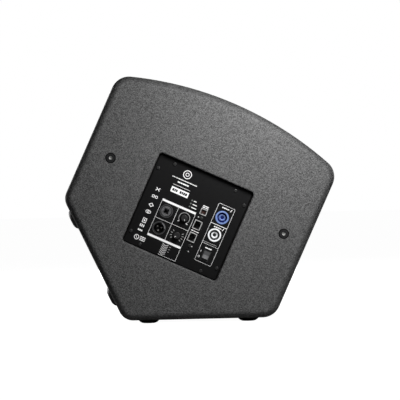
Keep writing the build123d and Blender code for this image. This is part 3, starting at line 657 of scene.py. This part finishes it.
def socket_trim():
    """Noses of the round sockets, and well floors and cores in the mains sockets, dark as painted shade."""
    for mount, node in (("combo_input", "combo_jack_shell"), ("xlr_link", "xlr_shell")):
        ring("nose_" + mount, mount, bead(11.3, 0.5, nose_height(node)), GREY_PLASTIC)
    ring("insert_rim", "combo_input", bead(8.3, 0.55, -0.1), PALE_GREY)
    ring("inner_rim", "combo_input", bead(6.1, 0.45, -0.1), PALE_GREY)
    top = nose_height("mains_inlet") + 0.25
    foot = top - 0.9
    collar = [(9.1, top - 0.5), (9.4, top), (11.6, top), (11.9, top - 0.3), (11.9, foot), (9.1, foot)]
    # painted shade: dark blue or black well floors and cores stand in for the shade deep in the mains
    # sockets
    floor = [(6.2, -5.2), (10.0, -5.2), (10.0, -7.0), (6.2, -7.0)]
    for mount, nose, well, slot in (
        ("mains_in", PALE_BLUE, PAINTED_SHADE_BLUE, "blue_plastic"),
        ("mains_out", WHITE_PLASTIC, BLACK_PLASTIC, "white_plastic"),
    ):
        ring("collar_" + mount, mount, collar, nose)
        ring("well_" + mount, mount, floor, well)
        ring("post_" + mount, mount, bead(4.7, 1.1, -4.4), nose)
    core = (3.3, -4.3, 1.0)                     # radius, front and thickness
    plug("core_mains_in", "mains_in", *core, PAINTED_SHADE_BLUE, "blue_plastic")
    plug("core_mains_out", "mains_out", *core, BLACK_PLASTIC, "black_plastic")


def rounded_rim(middle, half_x, half_z, corner, proud):
    """The points of a rounded rectangle on the panel."""
    points = []
    for sx, sz, start in ((1, 1, 0), (-1, 1, 90), (-1, -1, 180), (1, -1, 270)):
        centre = (middle[0] + sx * (half_x - corner), middle[1] + sz * (half_z - corner))
        points += arc(centre, corner, start, start + 90, 5)
    return [on_panel(x, z, proud) for x, z in points]


TIGHTEST = 0.2          # smallest radius of a corner


def moulding(bm, middle, half_x, half_z, corner, section):
    """A frame of one section, (inset, height) points from its outer edge inwards, round a rectangle."""
    rims = []
    for inset, proud in section:
        rim = rounded_rim(middle, half_x - inset, half_z - inset, max(TIGHTEST, corner - inset), proud)
        rims.append([bm.verts.new(p) for p in rim])
    join_rims(bm, rims + rims[:1])


def panel_seal_and_shade():
    """The rubber bead that closes the gap between the faceplate and the recess; near black and wider than
    the gap, it also stands in for the shade along the recess's edges as painted shade.
    """
    bm = bmesh.new()
    half_x, half_z, corner = 91.9, 86.4, 5.9        # 0.1 mm inside the recess, 184 x 173 mm
    section = [(0, -0.6), (0.1, 0.7), (0.9, 1.2), (2.4, 1.1), (3.2, 0.5), (3.4, -0.1), (1.2, -0.2)]
    moulding(bm, (0, 0), half_x, half_z, corner, section)
    finished("panel_seal_and_shade", bm, SEAL_AND_SHADE_BEAD)


def data_socket_frames():
    """The bright rims of the network and USB shells."""
    bm = bmesh.new()
    section = [(0, 0.1), (0.1, 0.85), (0.3, 1.0), (1.15, 1.0), (1.35, 0.8), (1.35, 0.1)]
    network = (7.1, 8.4, 0.7)                   # half sizes and corner
    usb = (6.2, 5.7, 0.6)
    for mount, size in (("network_a", network), ("network_b", network), ("usb_b", usb)):
        moulding(bm, socket_place(mount), *size, section)
    finished("data_socket_frames", bm, PLATED)


def hex_socket_glints():
    """A bright nickel cone in each blanking screw's hexagon: painted highlight, its pale colour and facets
    giving the screws' glint.
    """
    cup = [(3.3, -0.5), (3.4, -0.5), (3.4, -3.1), (0.3, -3.1), (0.3, -2.9)]
    bm = bmesh.new()
    for name, centre in MOUNTS.items():
        if name.startswith("rigging"):
            lathe(bm, centre, cup, segments=6, outward=math.copysign(1, centre.y))
    finished("hex_socket_glints", bm, NICKEL)


def xlr_key():
    """The pale latch plate at the top of the link socket."""
    bm = bmesh.new()
    rims = []
    for proud in (1.5, -0.4):
        for radius in (9.3, 10.9):
            rim = arc(socket_place("xlr_link"), radius, 15, 80, 10)
            rims.append([on_panel(x, z, proud) for x, z in rim])
    prism(bm, rims[:2], rims[2:], closed=False)
    finished("xlr_key", bm, PALE_GREY)


def strip(bm, start, end, half, thick):
    """A flat metal strip between two points on or behind the panel."""
    start, end, half = Vector(start), Vector(end), Vector(half)
    back = Vector((0, thick * MM, 0))
    rims = [[p + side * half for p in (start, end)] for side in (-1, 1)]
    prism(bm, rims, [[p + back for p in rim] for rim in rims], closed=False)


def network_contacts():
    """Eight spring wires along one wall of each network socket."""
    pitch, half_width, thick = 1.02, 0.2 * MM * OUT, 0.3
    bm = bmesh.new()
    for mount in ("network_a", "network_b"):
        x, z = socket_place(mount)
        for i in range(8):
            wire = z - 3.57 + pitch * i
            strip(bm, on_panel(x - 4.9, wire, -5), on_panel(x - 2.2, wire, -12), half_width, thick)
    finished("network_wires", bm, BRASS)


def usb_lining():
    """The plastic that lines the metal shell of the USB socket, and its tongue."""
    x, z = socket_place("usb_b")
    inside, back = 0.86, -9.0

    def rim(bm, half_x, half_z, proud):
        corners = [(-half_x, -half_z), (half_x, -half_z), (half_x, half_z), (-half_x, half_z)]
        return [bm.verts.new(on_panel(x + cx, z + cz, proud)) for cx, cz in corners]

    bm = bmesh.new()
    rims = []
    for share, proud in ((1, 0.0), (inside, 0.0), (inside, back), (1, back)):
        rims.append(rim(bm, share * 5.3, share * 4.8, proud))
    join_rims(bm, rims + rims[:1])
    finished("usb_lining", bm, USB_BROWN)
    tongue = bmesh.new()
    rims = [rim(tongue, 2.95, 1.85, proud) for proud in (-3.6, back)]
    join_rims(tongue, rims)
    for end in rims:
        tongue.faces.new(end)
    finished("usb_tongue", tongue, USB_BROWN)


def pointer_marks():
    """A white line let into the groove of each knob."""
    for node, body, angle in (("level_knob", "level_control", -60), ("preset_knob", "preset_control", -120)):
        low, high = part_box(node)
        x, z = panel_millimetres((low + high) / 2)
        a = math.radians(angle)
        face = nose_height(node)
        ends = [(x + r * math.cos(a), z + r * math.sin(a)) for r in (2.2, 5.0)]
        side = Vector((-math.sin(a), math.cos(a))) * 0.42
        bm = bmesh.new()
        rims = []
        for proud in (face - 0.2, face - 0.6):
            for way in (-1, 1):
                rims.append([on_panel(p[0] + way * side.x, p[1] + way * side.y, proud) for p in ends])
        prism(bm, rims[:2], rims[2:], closed=False)
        finished("pointer_" + node, bm, INK, body=body)


# ---- grille ----
GRILLE_R = 633.0                # outer face of the grille, mm
GRILLE_HALF_X, GRILLE_HALF_Y = 185.5, 184.0
GRILLE_THICK = 1.5
HOLES_HALF_X = 160.0            # the holes end here, and a plain margin follows
MARGIN_Y = 8.0
LIP, LIP_HALF_X = 10.0, 164.0   # folded edges along the two sides
ARC_V = -597.13                 # centre of the front curve
CELL = 8.0                      # between the holes' centres
WEB = 1.7                       # steel between two holes


def on_arc(x, y, radius):
    """A point on the curved front: x is measured along the chord."""
    lean = math.sqrt(radius**2 - x**2) if abs(x) < radius else 0
    return place(x, y, ARC_V + lean)


def hexagon(x, y, radius):
    """The corners of a honeycomb cell."""
    angles = [math.radians(60 * i) for i in range(6)]
    return [(x + radius * math.cos(a), y + radius * math.sin(a)) for a in angles]


def perforated_sheet(bm):
    """A flat honeycomb sheet in millimetres, with a plain margin, cut to the grille's outline."""
    side = CELL / math.sqrt(3)
    columns = int(GRILLE_HALF_X / (1.5 * side)) + 2
    rows = int(GRILLE_HALF_Y / CELL) + 2
    hole = (CELL - WEB) / CELL * side
    known = {}

    def vertex(x, y):
        key = (round(x, 2), round(y, 2))
        if key not in known:
            known[key] = bm.verts.new((x, y, 0))
        return known[key]

    for column in range(-columns, columns + 1):
        for row in range(-rows, rows + 1):
            x, y = 1.5 * side * column, CELL * (row + 0.5 * (column % 2))
            outer = [vertex(*corner) for corner in hexagon(x, y, side)]
            if abs(x) < HOLES_HALF_X and abs(y) < GRILLE_HALF_Y - MARGIN_Y:
                join_rims(bm, [outer, [bm.verts.new((*corner, 0)) for corner in hexagon(x, y, hole)]])
            else:
                bm.faces.new(outer)
    for axis, half in ((Vector((1, 0, 0)), GRILLE_HALF_X), (Vector((0, 1, 0)), GRILLE_HALF_Y)):
        for sign in (-1, 1):
            geometry = bm.verts[:] + bm.edges[:] + bm.faces[:]
            bmesh.ops.bisect_plane(
                bm, geom=geometry, plane_co=axis * half * sign, plane_no=axis * sign, clear_outer=True
            )


def perforated_grille():
    """The curved steel grille: a thick perforated skin with a folded lip along each side."""
    bm = bmesh.new()
    perforated_sheet(bm)
    skin = bm.faces[:]
    bm.normal_update()
    doubled = bmesh.ops.extrude_face_region(bm, geom=skin)
    back = {v for v in doubled["geom"] if isinstance(v, bmesh.types.BMVert)}
    for vert in bm.verts:
        radius = GRILLE_R - (GRILLE_THICK if vert in back else 0)
        vert.co = on_arc(vert.co.x, vert.co.y, radius)
    lip_steps = 40
    steps = [-LIP_HALF_X + 2 * LIP_HALF_X * i / lip_steps for i in range(lip_steps + 1)]
    for y_low in (-GRILLE_HALF_Y, GRILLE_HALF_Y - GRILLE_THICK):
        rims = []
        for radius in (GRILLE_R - GRILLE_THICK - 0.05, GRILLE_R - GRILLE_THICK - LIP):
            for y in (y_low, y_low + GRILLE_THICK):
                rims.append([on_arc(x, y, radius) for x in steps])
        prism(bm, rims[:2], rims[2:], closed=False)
    piece = finished("perforated_grille", bm, GRILLE_PAINT)
    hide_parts("grille")


def grille_lining():
    """Soft open foam behind the holes, pressed in a little between them."""
    bm = bmesh.new()
    half_x, half_y, thick = 163.0, 181.0, 4.0
    soft_edge = 8                               # width of the band where the edges sink, mm
    outer = GRILLE_R - GRILLE_THICK - 0.2
    columns, rows = 90, 100
    layers = []
    for inner in (False, True):
        grid = []
        for i in range(columns + 1):
            x = -half_x + 2 * half_x * i / columns
            line = []
            for j in range(rows + 1):
                y = -half_y + 2 * half_y * j / rows
                edge = min(1.0, (half_x - abs(x)) / soft_edge, (half_y - abs(y)) / soft_edge)
                wave = 0.35 * noise.noise(Vector((x / 23, y / 23, 3.1)))
                sink = (0.4 - wave) * (1 - edge) + 0.25 + 0.25 * noise.noise(Vector((x / 9, y / 9, 7.7)))
                radius = outer - thick + 0.3 * edge * wave if inner else outer - max(0.0, sink)
                line.append(bm.verts.new(on_arc(x, y, radius)))
            grid.append(line)
        layers.append(grid)
    front, back = layers
    for i in range(columns):
        for j in range(rows):
            for grid in layers:
                bm.faces.new((grid[i][j], grid[i + 1][j], grid[i + 1][j + 1], grid[i][j + 1]))
    for i in range(columns):
        for j in (0, rows):
            bm.faces.new((front[i][j], front[i + 1][j], back[i + 1][j], back[i][j]))
    for j in range(rows):
        for i in (0, columns):
            bm.faces.new((front[i][j], front[i][j + 1], back[i][j + 1], back[i][j]))
    piece = finished("grille_lining", bm, FOAM, smooth=True)
    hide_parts("grille_foam")


# ---- soft parts inside ----
def wadding_pads():
    """Lofty polyester pads: the CAD pads remeshed, drawn in a little and pulled into soft lumps."""
    drawn_in, lumpy = 2.2, 2.0                  # mm
    broad, small = 1 / 28, 1 / 70               # size of the lumps, and of the ones on them, in metres
    piece = frame["nodes"]["wadding"].copy()
    piece.data = frame["nodes"]["wadding"].data.copy()
    piece.name = "wadding_pads"
    piece.parent = None
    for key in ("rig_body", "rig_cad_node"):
        del piece[key]
    bpy.context.scene.collection.objects.link(piece)
    remesh = piece.modifiers.new("remesh", "REMESH")
    remesh.mode = "VOXEL"
    remesh.voxel_size = 6 * MM
    depsgraph = bpy.context.evaluated_depsgraph_get()
    mesh = bpy.data.meshes.new_from_object(piece.evaluated_get(depsgraph))
    piece.modifiers.clear()
    piece.data = mesh
    mesh.update()
    normals = [v.normal.copy() for v in mesh.vertices]
    for vert, normal in zip(mesh.vertices, normals):
        lump = noise.noise(vert.co / broad) + 0.5 * noise.noise(vert.co / small)
        vert.co -= normal * (drawn_in + lumpy * lump) * MM
    mesh.materials.clear()
    mesh.materials.append(WADDING)
    mesh.polygons.foreach_set("use_smooth", [True] * len(mesh.polygons))
    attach(piece, "cabinet")
    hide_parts("wadding")


def sector_rings(name, node, outline, sectors, look):
    """A round suspension in sectors, reaching from the cone, inside, to the basket, outside.

    The outline is (radius, v). Each sector is its own closed piece, left without a body, and there are
    enough sectors that two neighbours would part by too little to see where they meet."""
    steps = 4
    crease = math.radians(40)                   # a sharper edge than this stays hard
    half = math.pi / sectors
    for sector in range(sectors):
        middle = 2 * math.pi * sector / sectors
        bm = bmesh.new()
        slices = []
        for step in range(steps + 1):
            angle = middle - half + 2 * half * step / steps
            points = [place(r * math.cos(angle), r * math.sin(angle), v) for r, v in outline]
            slices.append([bm.verts.new(p) for p in points])
        join_rims(bm, slices)
        for end in (slices[0], slices[-1]):
            bm.faces.new(end)
        bmesh.ops.recalc_face_normals(bm, faces=bm.faces)
        for edge in bm.edges:
            edge.smooth = edge.calc_face_angle() < crease
        piece = finished(f"{name}_{sector + 1}", bm, look, body=None, smooth=True)
        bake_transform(piece)
        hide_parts(node)


def half_roll(radius, start, turn):
    """Points over the surround's roll, from an angle in degrees by equal turns."""
    centre_r, centre_v = 131, -10
    angles = [math.radians(start + turn * i) for i in range(11)]
    return [(centre_r + radius * math.cos(a), centre_v + radius * math.sin(a)) for a in angles]


def surround_outline():
    """A half roll between two flat lands, 1 mm thick."""
    upper = [(123.6, -9.6), (125.4, -9.6), *half_roll(6.5, 170, -16), (142.5, -9.0)]
    lower = [(142.5, -10.0), (136.8, -10.0), *half_roll(5.5, 10, 16), (125.4, -10.5), (123.6, -10.5)]
    return upper + lower


def spider_outline():
    """Five waves between two flat lands, 0.7 mm thick."""
    waves, steps, first, last, middle = 5, 40, 41.0, 71.0, -78.4
    curve = [(38.2, middle)]
    for step in range(steps + 1):
        share = step / steps
        curve.append((first + share * (last - first), middle + 1.5 * math.sin(2 * math.pi * waves * share)))
    curve.append((79.0, middle))
    return [(r, v + 0.35) for r, v in curve] + [(r, v - 0.35) for r, v in reversed(curve)]


# ---- studio ----
def lamp(name, at, aim, size, power):
    """A square soft light, hidden from the camera."""
    light = bpy.data.lights.new(name, "AREA")
    light.size = size
    light.energy = power
    holder = bpy.data.objects.new(name, light)
    holder.location = at
    holder.rotation_euler = (Vector(aim) - Vector(at)).to_track_quat("-Z", "Y").to_euler()
    holder.visible_camera = False
    bpy.context.scene.collection.objects.link(holder)


def white_backdrop():
    """A world that the camera sees as white, but that lights the object little."""
    world = bpy.data.worlds.new("studio")
    bpy.context.scene.world = world
    world.use_nodes = True
    tree = world.node_tree
    dim = tree.nodes["Background"]
    dim.inputs["Color"].default_value = (1, 1, 1, 1)
    dim.inputs["Strength"].default_value = 0.03
    white = tree.nodes.new("ShaderNodeBackground")
    white.inputs["Color"].default_value = (1, 1, 1, 1)
    path = tree.nodes.new("ShaderNodeLightPath")
    mix = tree.nodes.new("ShaderNodeMixShader")
    tree.links.new(path.outputs["Is Camera Ray"], mix.inputs[0])
    tree.links.new(dim.outputs[0], mix.inputs[1])
    tree.links.new(white.outputs[0], mix.inputs[2])
    tree.links.new(mix.outputs[0], tree.nodes["World Output"].inputs["Surface"])


def white_floor():
    """A floor that the camera sees as almost white, but that lights the object little."""
    bm = bmesh.new()
    bmesh.ops.create_grid(bm, x_segments=1, y_segments=1, size=30)      # half its width, in metres
    mesh = bpy.data.meshes.new("floor")
    bm.to_mesh(mesh)
    bm.free()
    floor = bpy.data.objects.new("floor", mesh)
    bpy.context.scene.collection.objects.link(floor)
    look = Look("floor", 0.9)
    look.shader.inputs["Base Color"].default_value = (0.2, 0.2, 0.2, 1)
    look.shader.inputs["Emission Color"].default_value = (1, 1, 1, 1)
    path = look.tree.nodes.new("ShaderNodeLightPath")
    lift = look.tree.nodes.new("ShaderNodeMath")
    lift.operation = "MULTIPLY"
    lift.inputs[1].default_value = 0.975
    look.tree.links.new(path.outputs["Is Camera Ray"], lift.inputs[0])
    look.tree.links.new(lift.outputs[0], look.shader.inputs["Emission Strength"])
    mesh.materials.append(look.material)


def studio():
    """A soft light above and in front, and weaker ones from all round, on a white floor."""
    bpy.context.scene.view_settings.view_transform = "Standard"
    white_backdrop()
    white_floor()
    lamp("key", (0.22, -0.55, 0.54), (0.05, -0.2, 0.24), 0.2, 4.9)
    lamp("front", (0.35, -2.3, 1.0), (0, -0.2, 0.22), 0.5, 3)
    lamp("top", (0.1, 2.3, 2.0), (0, 0, 0.2), 1.4, 4)
    lamp("left_fill", (-2.2, 2.0, 0.45), (0, 0, 0.2), 1.0, 22)
    lamp("back_fill", (-0.4, 3.0, 0.55), (0, 0, 0.2), 1.2, 36)
    lamp("right_fill", (2.2, 2.4, 0.6), (0, 0, 0.2), 1.0, 26)


def camera():
    """A long lens square to the amplifier side, rolled a little."""
    view = bpy.data.cameras.new("camera")
    view.lens = 200
    view.clip_end = 60
    eye = bpy.data.objects.new("camera", view)
    wide = 715.6 * MM               # what the view takes in, at the amplifier side
    drop = 2.4 * MM                 # of the camera below the middle of the object
    lean = math.radians(-1.37)      # how far the camera is rolled
    middle = (cad_low + cad_high) / 2
    distance = view.lens / view.sensor_width * wide
    eye.location = (middle.x, cad_low.y - distance, middle.z - drop)
    upright = Matrix.Rotation(math.radians(90), 4, "X")
    eye.rotation_euler = (upright @ Matrix.Rotation(lean, 4, "Z")).to_euler()
    bpy.context.scene.collection.objects.link(eye)
    bpy.context.scene.camera = eye


camera()
studio()
dress_nodes()
signal_graphics()
hatch_block()
control_scales()
power_graphics()
socket_labels()
title_block()
marks_column()
panel_seal_and_shade()
socket_trim()
xlr_key()
data_socket_frames()
hex_socket_glints()
network_contacts()
usb_lining()
pointer_marks()
perforated_grille()
grille_lining()
wadding_pads()
sector_rings(
    "surround_sector", "surround", surround_outline(), sectors=24,
    look=SURROUND_CLOTH,
)
sector_rings(
    "spider_sector", "spider", spider_outline(), sectors=16,
    look=SPIDER_CLOTH,
)
